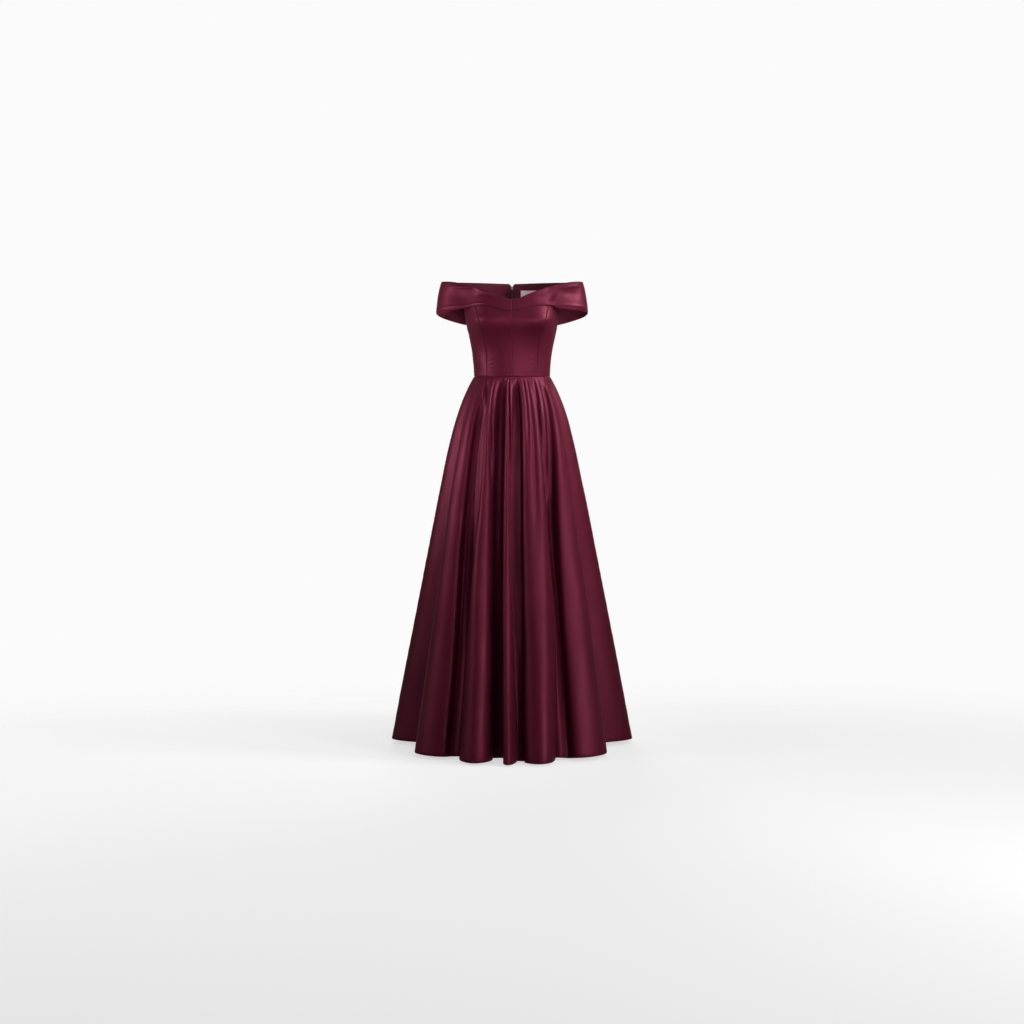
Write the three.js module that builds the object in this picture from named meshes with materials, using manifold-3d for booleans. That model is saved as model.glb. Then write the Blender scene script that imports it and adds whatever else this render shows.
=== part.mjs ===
// Off-shoulder gown in satin, worn with its hollow open: a fitted bodice cut in panels, a folded
// band that crosses the bust, passes round both upper arms and closes at the back, and a full
// skirt that falls from the waist seam in soft folds to the floor. A short zip closes the back.
//
// Millimetres, +Z up. The wearer faces -Y and +X is the wearer's left. The origin is the middle
// of the waist. Angles are degrees round +Z from the centre front (0) by the wearer's left side
// (90) to the centre back (180).
import Module from "manifold-3d";
import * as THREE from "three";
import { mergeVertices } from "three/addons/utils/BufferGeometryUtils.js";

// Cloth
const clothThickness = 2;
const bandThickness = 2.4;
const tapeThickness = 0.8;
const seamGap = 0.3;
const layerGap = 0.6;

// Overall sizes
const waistHalfWidth = 118;
const waistFrontDepth = 90;
const waistBackDepth = 85;
const skirtLength = 1136;
const frontDip = 8;
const hemHalfWidth = 380;
const hemFrontDepth = 405;
const hemBackDepth = 395;

// Bodice: half sizes of its section at each height, and how square that section is (2 is oval)
const bodiceSections = [
  { z: 0, side: waistHalfWidth, front: waistFrontDepth, back: waistBackDepth, square: 2 },
  { z: 40, side: 120.5, front: 93, back: 88, square: 2.05 },
  { z: 80, side: 125.5, front: 98, back: 93, square: 2.15 },
  { z: 120, side: 133.5, front: 109, back: 98, square: 2.35 },
  { z: 160, side: 142, front: 121, back: 102, square: 2.55 },
  { z: 210, side: 149, front: 123, back: 104, square: 2.6 },
  { z: 250, side: 150, front: 118, back: 104, square: 2.5 },
  { z: 300, side: 150, front: 112, back: 104, square: 2.4 },
];
const bustAngle = 36;
const bustSpread = 19;
const bustHeight = 168;
const bustRise = 36;
const bustFullness = 17;

// Bodice: its top edge, which is highest on the back and lowest under the arm
const bodiceTop = [
  { angle: 0, z: 229 },
  { angle: 15, z: 236 },
  { angle: 26, z: 247 },
  { angle: 40, z: 257 },
  { angle: 52, z: 258 },
  { angle: 70, z: 228 },
  { angle: 90, z: 206 },
  { angle: 108, z: 232 },
  { angle: 124, z: 272 },
  { angle: 136, z: 285 },
  { angle: 173, z: 286 },
  { angle: 175, z: 286 },
  { angle: 178.8, z: 278 },
  { angle: 180, z: 268 },
];

// Bodice: where its seams run, by the share of the height from the waist to the top edge
const frontPrincess = [
  { share: 0, angle: 48.5 },
  { share: 0.2, angle: 46.5 },
  { share: 0.39, angle: 43.5 },
  { share: 0.64, angle: 40 },
  { share: 0.72, angle: 43 },
  { share: 0.86, angle: 51 },
  { share: 1, angle: 60 },
];
const backPrincess = [
  { share: 0, angle: 138 },
  { share: 0.5, angle: 137 },
  { share: 1, angle: 126 },
];

// Band: its lower and upper edges by angle; behind the arm it hangs lower
const bandEdges = [
  { angle: 0, low: 199, high: 234 },
  { angle: 12, low: 206, high: 241 },
  { angle: 24, low: 213, high: 252.5 },
  { angle: 34, low: 217.5, high: 261 },
  { angle: 43, low: 218.5, high: 268 },
  { angle: 52, low: 215, high: 275 },
  { angle: 60, low: 209, high: 280 },
  { angle: 70, low: 204.5, high: 289 },
  { angle: 80, low: 201, high: 292 },
  { angle: 90, low: 196, high: 292 },
  { angle: 104, low: 179, high: 292 },
  { angle: 116, low: 163, high: 292 },
  { angle: 125, low: 156, high: 291.5 },
  { angle: 140, low: 153, high: 291 },
  { angle: 173, low: 152, high: 289 },
  { angle: 175, low: 152, high: 289 },
  { angle: 178.8, low: 152, high: 281 },
  { angle: 180, low: 152, high: 271 },
];
const armReachLow = 236.5;
const armReachHigh = 220.5;
const armLowHeight = 198;
const armHighHeight = 292;
const armLoopHalfAngle = 42;
const bandCrown = 2.5;

// Skirt: the flare leaves the waist quickly over the hips and then falls straight to the hem
const hipRelease = 39;
const hipReleaseOver = 85;

// Skirt: each fold's valley, by its angle at the waist, at the thigh, at the knee and at the hem,
// its depth against the common depth, how tightly it is pinched, and how much the lobe after it
// is parted by a short pleat below the waist
const foldDepthAtWaist = 9;
const foldDepthAtHem = 74;
const pleatDepth = 9;
const pleatLength = 400;
const gatherRelease = 26;
const thighDrop = 0.34;
const kneeDrop = 0.73;
const folds = [
  { waist: -74, thigh: -70, knee: -68, hem: -66, depth: 1.3, pinch: 0.05, pleat: 1 },
  { waist: -45, thigh: -38.6, knee: -30.5, hem: -28.5, depth: 0.9, pinch: 0.7, pleat: 1 },
  { waist: -16, thigh: -13, knee: -9.2, hem: -7.3, depth: 1.3, pinch: 0.55, pleat: 1.2 },
  { waist: 9, thigh: 3.5, knee: 2.6, hem: 3, depth: 0.8, pinch: 0.6, pleat: 1 },
  { waist: 36, thigh: 35, knee: 28.7, hem: 23.5, depth: 0.9, pinch: 0.65, pleat: 1.1 },
  { waist: 70, thigh: 68, knee: 67, hem: 66, depth: 1.25, pinch: 0.05, pleat: 0.6 },
  { waist: 103, thigh: 105, knee: 106, hem: 107, depth: 1, pinch: 0.35, pleat: 1 },
  { waist: 124, thigh: 126, knee: 127, hem: 128, depth: 0.8, pinch: 0.6, pleat: 1 },
  { waist: 145, thigh: 147, knee: 148, hem: 149, depth: 1, pinch: 0.5, pleat: 1.1 },
  { waist: 164, thigh: 166, knee: 167, hem: 168, depth: 0.75, pinch: 0.6, pleat: 0 },
  { waist: 196, thigh: 194, knee: 193, hem: 192, depth: 0.85, pinch: 0.6, pleat: 1 },
  { waist: 216, thigh: 213, knee: 212, hem: 211, depth: 1, pinch: 0.45, pleat: 1.1 },
  { waist: 237, thigh: 235, knee: 233, hem: 231, depth: 0.85, pinch: 0.6, pleat: 1 },
  { waist: 257, thigh: 256, knee: 255, hem: 254, depth: 1, pinch: 0.3, pleat: 0.6 },
];
const columnsPerFold = 10;
const skirtDrops = [0, 7, 18, 36, 62, 98, 145, 205, 280, 370, 480, 600, 730, 865, 1000, skirtLength];

// Back zip and label
const zipBottom = -205;
const zipTop = 271;
const tapeStart = 2;
const tapeWidth = 11;
const labelStart = 28;
const labelWidth = 50;
const labelTop = 269;
const labelHeight = 24;

// Slider and pull: the slider sits in the notch at the top of the back, and the pull's eye
// hangs on the slider's bail
const sliderHeight = 273;
const sliderLength = 9;
const sliderWidth = 7;
const plateThickness = 1.2;
const neckWidth = 2;
const bailWidth = 1.6;
const bailWire = 0.8;
const bailRoom = 2;
const bailLength = 6.6;
const pullWidth = 6;
const pullTipWidth = 4.4;
const pullLength = 28;
const pullThickness = 1.1;
const eyeWidth = 2.8;
const eyeLength = 4.6;
const eyeBar = 1.1;

const bounded = THREE.MathUtils.clamp;
const blend = THREE.MathUtils.lerp;
const sine = (degrees) => Math.sin(THREE.MathUtils.degToRad(degrees));
const cosine = (degrees) => Math.cos(THREE.MathUtils.degToRad(degrees));

function material(color, roughness, metalness) {
  return new THREE.MeshStandardMaterial({ color, roughness, metalness });
}
const satin = () => material(0x66203a, 0.42, 0);
const tape = () => material(0x4a1226, 0.8, 0);
const metal = () => material(0x8b8588, 0.35, 0.9);
const labelCloth = () => material(0xe6d2d6, 0.7, 0);

// A smooth curve through one column of a table that is sorted by another column
function fromTable(table, key, column, at) {
  const last = table.length - 1;
  const place = bounded(at, table[0][key], table[last][key]);
  let row = 0;
  while (row < last - 1 && table[row + 1][key] < place) row += 1;
  const slope = (index) => {
    const before = table[Math.max(index - 1, 0)];
    const after = table[Math.min(index + 1, last)];
    return (after[column] - before[column]) / (after[key] - before[key]);
  };
  const start = table[row];
  const end = table[row + 1];
  const span = end[key] - start[key];
  const t = (place - start[key]) / span;
  const rise = t * t * (3 - 2 * t);
  const lean = t * (1 - t) * (slope(row) * (1 - t) - slope(row + 1) * t) * span;
  return blend(start[column], end[column], rise) + lean;
}

// Distance from the axis to the edge of a rounded section
function sectionRadius(angle, side, depth, square) {
  const across = Math.abs(sine(angle) / side) ** square;
  const along = Math.abs(cosine(angle) / depth) ** square;
  return (across + along) ** (-1 / square);
}

function onAxis(angle, radius, z) {
  return new THREE.Vector3(radius * sine(angle), -radius * cosine(angle), z);
}

// Bodice surface

function bodiceRadius(angle, z) {
  const side = fromTable(bodiceSections, "z", "side", z);
  const front = fromTable(bodiceSections, "z", "front", z);
  const back = fromTable(bodiceSections, "z", "back", z);
  const square = fromTable(bodiceSections, "z", "square", z);
  const depth = cosine(angle) > 0 ? front : back;
  const turn = (Math.abs(angle) - bustAngle) / bustSpread;
  const climb = (z - bustHeight) / bustRise;
  const bust = bustFullness * Math.exp(-turn * turn - climb * climb);
  return sectionRadius(angle, side, depth, square) + bust;
}

function bodicePoint(angle, z) {
  return onAxis(angle, bodiceRadius(angle, z), z);
}

function topHeight(angle) {
  const turned = Math.abs(angle) > 180 ? 360 - Math.abs(angle) : Math.abs(angle);
  return fromTable(bodiceTop, "angle", "z", turned);
}

// Band surface: on the body it lies on the bodice, and at the arm it bows out into a loop

function bandPoint(angle, share) {
  const turned = Math.abs(angle) > 180 ? 360 - Math.abs(angle) : Math.abs(angle);
  const low = fromTable(bandEdges, "angle", "low", turned);
  const high = fromTable(bandEdges, "angle", "high", turned);
  const z = blend(low, high, share);
  const lying = bodiceRadius(angle, z) + layerGap + bandThickness;
  const climb = (z - armLowHeight) / (armHighHeight - armLowHeight);
  const reach = blend(armReachLow, armReachHigh, climb) - bodiceRadius(90, z) - layerGap - bandThickness;
  const away = bounded((turned - 90) / armLoopHalfAngle, -1, 1);
  const loop = cosine(90 * away) ** 2;
  const crown = bandCrown * loop * sine(180 * share);
  return onAxis(angle, lying + reach * loop + crown, z);
}

// Skirt surface

function flareShare(drop) {
  const straight = hemHalfWidth - waistHalfWidth - hipRelease;
  const hips = hipRelease * (1 - Math.exp(-drop / hipReleaseOver));
  return (hips + straight * drop / skirtLength) / (hemHalfWidth - waistHalfWidth);
}

function foldOf(index) {
  const turns = Math.floor(index / folds.length);
  return { fold: folds[index - turns * folds.length], turn: 360 * turns };
}

function valleyAngle(index, drop) {
  const { fold, turn } = foldOf(index);
  const path = [
    { share: 0, angle: fold.waist },
    { share: thighDrop, angle: fold.thigh },
    { share: kneeDrop, angle: fold.knee },
    { share: 1, angle: fold.hem },
  ];
  return turn + fromTable(path, "share", "angle", drop / skirtLength);
}

// A place counts folds: whole numbers are valleys, and the halves between them are crests
function nearestFold(place) {
  return foldOf(Math.round(place)).fold;
}

function angleAt(place, drop) {
  const index = Math.floor(place);
  const phase = place - index;
  const tightening = Math.sqrt(Math.max(drop, 0) / skirtLength);
  const bunch = nearestFold(place).pinch * tightening * sine(360 * phase) / (2 * Math.PI);
  return blend(valleyAngle(index, drop), valleyAngle(index + 1, drop), phase - bunch);
}

function skirtPoint(place, z) {
  const drop = -z;
  const share = drop / skirtLength;
  const flare = flareShare(drop);
  const index = Math.floor(place);
  const phase = place - index;
  const angle = angleAt(place, drop);
  const toFront = cosine(angle) > 0;
  const depth = toFront
    ? blend(waistFrontDepth, hemFrontDepth, flare)
    : blend(waistBackDepth, hemBackDepth, flare);
  const crest = sectionRadius(angle, blend(waistHalfWidth, hemHalfWidth, flare), depth, 2);
  const released = 1 - Math.exp(-drop / gatherRelease);
  const valley = nearestFold(place).depth * blend(foldDepthAtWaist, foldDepthAtHem, share) * (1 + cosine(360 * phase)) / 2;
  const fade = 1 - THREE.MathUtils.smoothstep(drop, 0, pleatLength);
  const parted = Math.abs(phase - 0.5) < 0.25 ? (1 + cosine(720 * phase)) / 2 : 0;
  const pleat = foldOf(index).fold.pleat * pleatDepth * fade * parted;
  return onAxis(angle, crest - released * (valley + pleat), z);
}

// Walls: a grid of outer points on a surface, and inner points one thickness behind them

function outward(surface, u, v) {
  const stepU = 1e-3;
  const stepV = 1e-2;
  const along = surface(u + stepU, v).sub(surface(u - stepU, v));
  const up = surface(u, v + stepV).sub(surface(u, v - stepV));
  return along.cross(up).normalize();
}

// Moves a column sideways on the surface by a distance in millimetres
function nudged(surface, u, v, distance) {
  const step = 1e-3;
  const speed = surface(u + step, v).distanceTo(surface(u - step, v)) / (2 * step);
  return u + distance / speed;
}

function gridMesh(name, cloth, outer, inner, mirrored) {
  const columns = outer.length;
  const rows = outer[0].length;
  const positions = [];
  for (const layer of [outer, inner]) {
    for (const column of layer) {
      for (const point of column) positions.push(mirrored ? -point.x : point.x, point.y, point.z);
    }
  }
  const out = (column, row) => column * rows + row;
  const back = (column, row) => (columns + column) * rows + row;
  const faces = [];
  const quad = (a, b, c, d) => faces.push([a, b, c], [a, c, d]);
  for (let column = 0; column < columns - 1; column += 1) {
    for (let row = 0; row < rows - 1; row += 1) {
      quad(out(column, row), out(column + 1, row), out(column + 1, row + 1), out(column, row + 1));
      const [a, b] = [back(column, row), back(column, row + 1)];
      const [c, d] = [back(column + 1, row + 1), back(column + 1, row)];
      faces.push([a, b, c], [a, c, d]);
    }
    const last = rows - 1;
    quad(back(column, 0), back(column + 1, 0), out(column + 1, 0), out(column, 0));
    quad(out(column, last), out(column + 1, last), back(column + 1, last), back(column, last));
  }
  const end = columns - 1;
  for (let row = 0; row < rows - 1; row += 1) {
    quad(back(0, row), out(0, row), out(0, row + 1), back(0, row + 1));
    quad(out(end, row), back(end, row), back(end, row + 1), out(end, row + 1));
  }
  const geometry = new THREE.BufferGeometry();
  geometry.setAttribute("position", new THREE.Float32BufferAttribute(positions, 3));
  geometry.setIndex(faces.flatMap(([a, b, c]) => (mirrored ? [a, c, b] : [a, b, c])));
  geometry.computeVertexNormals();
  const mesh = new THREE.Mesh(geometry, cloth);
  mesh.name = name;
  return mesh;
}

// places[column][row] are the two numbers that the surface takes
function wall({ name, cloth, surface, places, thickness, inset = 0, mirrored = false }) {
  const outer = [];
  const inner = [];
  for (const column of places) {
    outer.push(column.map(([u, v]) => surface(u, v).addScaledVector(outward(surface, u, v), -inset)));
    inner.push(column.map(([u, v]) => {
      return surface(u, v).addScaledVector(outward(surface, u, v), -inset - thickness);
    }));
  }
  return gridMesh(name, cloth, outer, inner, mirrored);
}

function steps(count) {
  return Array.from({ length: count + 1 }, (unused, index) => index / count);
}

// Bodice panels

const bodiceRows = steps(11);

function bodicePanel(name, from, to, columns, mirrored) {
  const places = columns.map((across, column) => bodiceRows.map((share) => {
    const angleAt = (climb) => blend(from(climb), to(climb), across);
    const z = seamGap / 2 + share * (topHeight(angleAt(share)) - seamGap / 2);
    let angle = angleAt(share);
    if (column === 0) angle = nudged(bodicePoint, angle, z, seamGap / 2);
    if (column === columns.length - 1) angle = nudged(bodicePoint, angle, z, -seamGap / 2);
    return [angle, z];
  }));
  return wall({
    name, cloth: satin(), surface: bodicePoint, places, thickness: clothThickness, mirrored,
  });
}

function bodicePanels(side, mirrored) {
  const centreFront = () => 0;
  const front = (share) => fromTable(frontPrincess, "share", "angle", share);
  const sideSeam = () => 90;
  const back = (share) => fromTable(backPrincess, "share", "angle", share);
  const centreBack = () => 180;
  const toNotch = [0, 0.2, 0.4, 0.6, 0.8, 0.91, 0.978, 1];
  return [
    bodicePanel(`bodice_centre_front_${side}`, centreFront, front, steps(6), mirrored),
    bodicePanel(`bodice_side_front_${side}`, front, sideSeam, steps(6), mirrored),
    bodicePanel(`bodice_side_back_${side}`, sideSeam, back, steps(6), mirrored),
    bodicePanel(`bodice_centre_back_${side}`, back, centreBack, toNotch, mirrored),
  ];
}

// Band: columns lie closer together where it lies on the bodice

const bandRows = steps(5);
const notchAngle = 175;
const slotAngle = 178.8;

function bandColumns() {
  const onFront = steps(12).map((share) => blend(0, 48, share));
  const roundArm = steps(16).slice(1).map((share) => blend(48, 132, share));
  const onBack = steps(9).slice(1).map((share) => blend(132, notchAngle, share));
  return [...onFront, ...roundArm, ...onBack, slotAngle, 180];
}

function band(side, mirrored) {
  const angles = bandColumns();
  const places = angles.map((angle, column) => bandRows.map((share) => {
    if (column === 0) return [nudged(bandPoint, angle, share, seamGap / 2), share];
    if (column === angles.length - 1) return [nudged(bandPoint, angle, share, -seamGap / 2), share];
    return [angle, share];
  }));
  return wall({
    name: `band_${side}`, cloth: satin(), surface: bandPoint, places, thickness: bandThickness, mirrored,
  });
}

// Skirt panels: the seams below the bodice's princess seams lie in valleys, and the side and
// centre back seams on crests

const frontSeamRight = 1;
const frontSeamLeft = 4;
const sideSeamLeft = 5.5;
const backSeamLeft = 8;
const centreBackSeam = 9.5;
const backSeamRight = 11;
const sideSeamRight = 13.5;

function skirtPanel(name, from, to) {
  const count = Math.round((to - from) * columnsPerFold);
  const drops = [...skirtDrops].reverse();
  const places = steps(count).map((across, column) => drops.map((drop) => {
    let place = blend(from, to, across);
    const dip = 1 + frontDip / skirtLength * Math.max(cosine(angleAt(place, drop)), 0) ** 4;
    const z = -Math.max(drop * dip, seamGap / 2);
    if (column === 0) place = nudged(skirtPoint, place, z, seamGap / 2);
    if (column === count) place = nudged(skirtPoint, place, z, -seamGap / 2);
    return [place, z];
  }));
  return wall({ name, cloth: satin(), surface: skirtPoint, places, thickness: clothThickness });
}

function skirtPanels() {
  const whole = folds.length;
  return [
    skirtPanel("skirt_front", frontSeamRight, frontSeamLeft),
    skirtPanel("skirt_side_front_left", frontSeamLeft, sideSeamLeft),
    skirtPanel("skirt_side_back_left", sideSeamLeft, backSeamLeft),
    skirtPanel("skirt_back_left", backSeamLeft, centreBackSeam),
    skirtPanel("skirt_back_right", centreBackSeam, backSeamRight),
    skirtPanel("skirt_side_back_right", backSeamRight, sideSeamRight),
    skirtPanel("skirt_side_front_right", sideSeamRight, frontSeamRight + whole),
  ];
}

// The back as one surface for the zip tapes and label, by distance from the centre back. Below
// the waist it runs straight from column to column, as the skirt's own panel does.
function backPoint(across, z) {
  if (z >= 0) {
    let angle = 180;
    for (let pass = 0; pass < 12; pass += 1) {
      angle = 180 - THREE.MathUtils.radToDeg(Math.asin(across / bodiceRadius(angle, z)));
    }
    return bodicePoint(angle, z);
  }
  const column = (count) => skirtPoint(centreBackSeam - count / columnsPerFold, z);
  let count = 0;
  while (column(count + 1).x < across) count += 1;
  const start = column(count);
  const end = column(count + 1);
  return start.lerp(end, (across - start.x) / (end.x - start.x));
}

function zipTape(side, mirrored) {
  const onSkirt = skirtDrops.filter((drop) => drop > 0 && drop <= -zipBottom).map((drop) => -drop);
  const onBodice = steps(6).map((share) => blend(seamGap / 2, zipTop, share));
  const heights = [...onSkirt.reverse(), ...onBodice];
  const places = steps(2).map((share) => {
    const across = tapeStart + tapeWidth * (1 - share);
    return heights.map((z) => [-across, z]);
  });
  const surface = (across, z) => backPoint(-across, z);
  const inset = clothThickness + layerGap;
  return wall({
    name: `zip_tape_${side}`, cloth: tape(), surface, places, thickness: tapeThickness, inset, mirrored,
  });
}

function neckLabel() {
  const surface = (across, z) => backPoint(-across, z);
  const places = steps(5).map((share) => {
    const across = -blend(labelStart + labelWidth, labelStart, share);
    return steps(2).map((climb) => [across, labelTop - labelHeight * (1 - climb)]);
  });
  const inset = clothThickness + layerGap;
  return wall({
    name: "neck_label", cloth: labelCloth(), surface, places, thickness: tapeThickness, inset,
  });
}

// Slider and pull, joined from simple solids

const wasm = await Module();
wasm.setup();

function solid(geometry) {
  const bare = geometry.index ? geometry.toNonIndexed() : geometry;
  bare.deleteAttribute("normal");
  bare.deleteAttribute("uv");
  const merged = mergeVertices(bare, 1e-4);
  return new wasm.Manifold(new wasm.Mesh({
    numProp: 3,
    vertProperties: new Float32Array(merged.attributes.position.array),
    triVerts: new Uint32Array(merged.index.array),
  }));
}

function meshOf(name, finish, shape) {
  const result = shape.getMesh();
  const geometry = new THREE.BufferGeometry();
  geometry.setAttribute("position", new THREE.Float32BufferAttribute(result.vertProperties, 3));
  geometry.setIndex(Array.from(result.triVerts));
  geometry.computeVertexNormals();
  const mesh = new THREE.Mesh(geometry, finish);
  mesh.name = name;
  return mesh;
}

function block(width, y0, y1, z0, z1) {
  const geometry = new THREE.BoxGeometry(width, y1 - y0, z1 - z0);
  geometry.translate(0, (y0 + y1) / 2, (z0 + z1) / 2);
  return solid(geometry);
}

// The band's outer face at the notch, and the faces of the slider that straddle the cloth there
const bandFace = bodiceRadius(180, sliderHeight) + layerGap + bandThickness;
const plateInside = bandFace + seamGap;
const plateOutside = plateInside + plateThickness;
const tapeFace = bodiceRadius(180, sliderHeight) - clothThickness - layerGap - tapeThickness;
const bailTop = sliderHeight + sliderLength / 2 + bailLength / 2;
const bailBottom = bailTop - bailLength;
const hingeHeight = (bailTop + bailBottom) / 2;
const hingeY = plateOutside + bailRoom / 2;

function zipSlider() {
  const bottom = sliderHeight;
  const top = sliderHeight + sliderLength;
  const outerPlate = block(sliderWidth, plateInside, plateOutside, bottom, top);
  const innerPlate = block(sliderWidth, tapeFace - seamGap - plateThickness, tapeFace - seamGap, bottom, top);
  const neck = block(neckWidth, tapeFace - seamGap - plateThickness, plateOutside, top - 2 * neckWidth, top);
  const bail = block(bailWidth, plateInside, plateOutside + bailRoom + bailWire, bailBottom, bailTop);
  const room = block(2 * bailWidth, plateOutside, plateOutside + bailRoom, bailBottom + bailWire, bailTop - bailWire);
  return meshOf("zip_slider", metal(), outerPlate.add(innerPlate).add(neck).add(bail.subtract(room)));
}

function zipPull() {
  const top = hingeHeight + eyeBar / 2;
  const outline = new THREE.Shape([
    new THREE.Vector2(-pullWidth / 2, top),
    new THREE.Vector2(-pullTipWidth / 2, top - 0.45 * pullLength),
    new THREE.Vector2(-pullWidth / 2, top - 0.85 * pullLength),
    new THREE.Vector2(-pullWidth / 4, top - pullLength),
    new THREE.Vector2(pullWidth / 4, top - pullLength),
    new THREE.Vector2(pullWidth / 2, top - 0.85 * pullLength),
    new THREE.Vector2(pullTipWidth / 2, top - 0.45 * pullLength),
    new THREE.Vector2(pullWidth / 2, top),
  ]);
  const eyeTop = top - eyeBar;
  const eye = new THREE.Path([
    new THREE.Vector2(-eyeWidth / 2, eyeTop),
    new THREE.Vector2(eyeWidth / 2, eyeTop),
    new THREE.Vector2(eyeWidth / 2, eyeTop - eyeLength),
    new THREE.Vector2(-eyeWidth / 2, eyeTop - eyeLength),
  ]);
  outline.holes.push(eye);
  const geometry = new THREE.ExtrudeGeometry(outline, { depth: pullThickness, bevelEnabled: false });
  geometry.rotateX(Math.PI / 2);
  geometry.translate(0, hingeY + pullThickness / 2, 0);
  return meshOf("zip_pull", metal(), solid(geometry));
}

const group = new THREE.Group();
for (const [side, mirrored] of [["left", false], ["right", true]]) {
  group.add(...bodicePanels(side, mirrored));
  group.add(band(side, mirrored));
  group.add(zipTape(side, mirrored));
}
group.add(...skirtPanels());
group.add(neckLabel());
group.add(zipSlider());
group.add(zipPull());

export default group;
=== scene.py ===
"""Dresses the off-shoulder satin gown on its fixed frame: fine cloth shells on the forms of the
panels, bands and skirt, with their seams, folds and gathers, and the zip, its pull and the label.

Sizes are in millimetres, worked into metres where a mesh is made, and the stage's are in metres.
The wearer faces -Y and +X is the wearer's left. Angles are degrees round +Z from the centre front
by the wearer's left side.
"""

import bisect
import functools
import math

import bpy
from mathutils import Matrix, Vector, noise


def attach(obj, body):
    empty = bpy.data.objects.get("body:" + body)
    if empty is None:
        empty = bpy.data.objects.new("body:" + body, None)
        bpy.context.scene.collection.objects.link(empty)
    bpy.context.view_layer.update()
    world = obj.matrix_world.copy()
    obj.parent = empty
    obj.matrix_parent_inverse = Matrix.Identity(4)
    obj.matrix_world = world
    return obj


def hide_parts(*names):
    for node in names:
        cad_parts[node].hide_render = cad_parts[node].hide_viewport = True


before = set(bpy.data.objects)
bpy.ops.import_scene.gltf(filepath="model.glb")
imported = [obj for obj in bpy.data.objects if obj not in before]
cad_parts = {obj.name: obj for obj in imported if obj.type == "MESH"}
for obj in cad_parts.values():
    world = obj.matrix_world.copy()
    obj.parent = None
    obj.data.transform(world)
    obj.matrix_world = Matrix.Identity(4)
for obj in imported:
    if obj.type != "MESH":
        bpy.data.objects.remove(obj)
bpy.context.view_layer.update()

MM = 0.001


class Curve:
    """A smooth curve through (place, value) pairs, level beyond both ends."""

    def __init__(self, *pairs):
        self.places = [pair[0] for pair in pairs]
        self.values = [pair[1] for pair in pairs]
        last = len(pairs) - 1
        self.slopes = []
        for index in range(len(pairs)):
            before = max(index - 1, 0)
            after = min(index + 1, last)
            rise = self.values[after] - self.values[before]
            self.slopes.append(rise / (self.places[after] - self.places[before]))

    def __call__(self, place):
        place = min(max(place, self.places[0]), self.places[-1])
        row = bisect.bisect_left(self.places, place) - 1
        row = min(max(row, 0), len(self.places) - 2)
        span = self.places[row + 1] - self.places[row]
        t = (place - self.places[row]) / span
        rise = t * t * (3 - 2 * t)
        lean = t * (1 - t) * (self.slopes[row] * (1 - t) - self.slopes[row + 1] * t) * span
        return blend(self.values[row], self.values[row + 1], rise) + lean


def blend(a, b, share):
    return a + (b - a) * share


def bounded(value, low, high):
    return min(max(value, low), high)


def smooth(value, low, high):
    """0 below low, 1 above high, and a soft rise between."""
    t = bounded((value - low) / (high - low), 0, 1)
    return t * t * (3 - 2 * t)


def bell(value):
    return math.exp(-value * value)


def sine(degrees):
    return math.sin(math.radians(degrees))


def cosine(degrees):
    return math.cos(math.radians(degrees))


# The gown's sizes, as its solids have them

WAIST_HALF_WIDTH = 118
WAIST_FRONT_DEPTH = 90
WAIST_BACK_DEPTH = 85
SKIRT_LENGTH = 1136
FRONT_DIP = 8
HEM_HALF_WIDTH = 380
HEM_FRONT_DEPTH = 405
HEM_BACK_DEPTH = 395
LAYER_GAP = 0.6
BAND_THICKNESS = 2.4

# The bodice's half sizes by height, and how square its section is
BODY_SIDE = Curve(
    (0, WAIST_HALF_WIDTH), (40, 120.5), (80, 125.5), (120, 133.5), (160, 142), (210, 149),
    (250, 150), (300, 150),
)
BODY_FRONT = Curve(
    (0, WAIST_FRONT_DEPTH), (40, 93), (80, 98), (120, 109), (160, 121), (210, 123), (250, 118),
    (300, 112),
)
BODY_BACK = Curve(
    (0, WAIST_BACK_DEPTH), (40, 88), (80, 93), (120, 98), (160, 102), (210, 104), (250, 104),
    (300, 104),
)
BODY_SQUARE = Curve(
    (0, 2), (40, 2.05), (80, 2.15), (120, 2.35), (160, 2.55), (210, 2.6), (250, 2.5), (300, 2.4),
)
BUST_ANGLE = 36
BUST_SPREAD = 19
BUST_HEIGHT = 168
BUST_RISE = 36
BUST_FULLNESS = 17

# The bodice's top edge by angle, and its seams' angles by the share of the height
BODY_TOP = Curve(
    (0, 229), (15, 236), (26, 247), (40, 257), (52, 258), (70, 228), (90, 206), (108, 232),
    (124, 272), (136, 285), (173, 286), (175, 286), (178.8, 278), (180, 268),
)
FRONT_PRINCESS = Curve(
    (0, 48.5), (0.2, 46.5), (0.39, 43.5), (0.64, 40), (0.72, 43), (0.86, 51), (1, 60),
)
BACK_PRINCESS = Curve((0, 138), (0.5, 137), (1, 126))

# The band's edges by angle, and how far it reaches at the arm
BAND_LOW = Curve(
    (0, 199), (12, 206), (24, 213), (34, 217.5), (43, 218.5), (52, 215), (60, 209), (70, 204.5),
    (80, 201), (90, 196), (104, 179), (116, 163), (125, 156), (140, 153), (173, 152), (180, 152),
)
BAND_HIGH = Curve(
    (0, 234), (12, 241), (24, 252.5), (34, 261), (43, 268), (52, 275), (60, 280), (70, 289),
    (80, 292), (116, 292), (125, 291.5), (140, 291), (173, 289), (175, 289), (178.8, 281),
    (180, 271),
)
ARM_REACH_LOW = 236.5
ARM_REACH_HIGH = 220.5
ARM_LOW_HEIGHT = 198
ARM_HIGH_HEIGHT = 292
ARM_LOOP_HALF_ANGLE = 42
BAND_CROWN = 2.5

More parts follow.
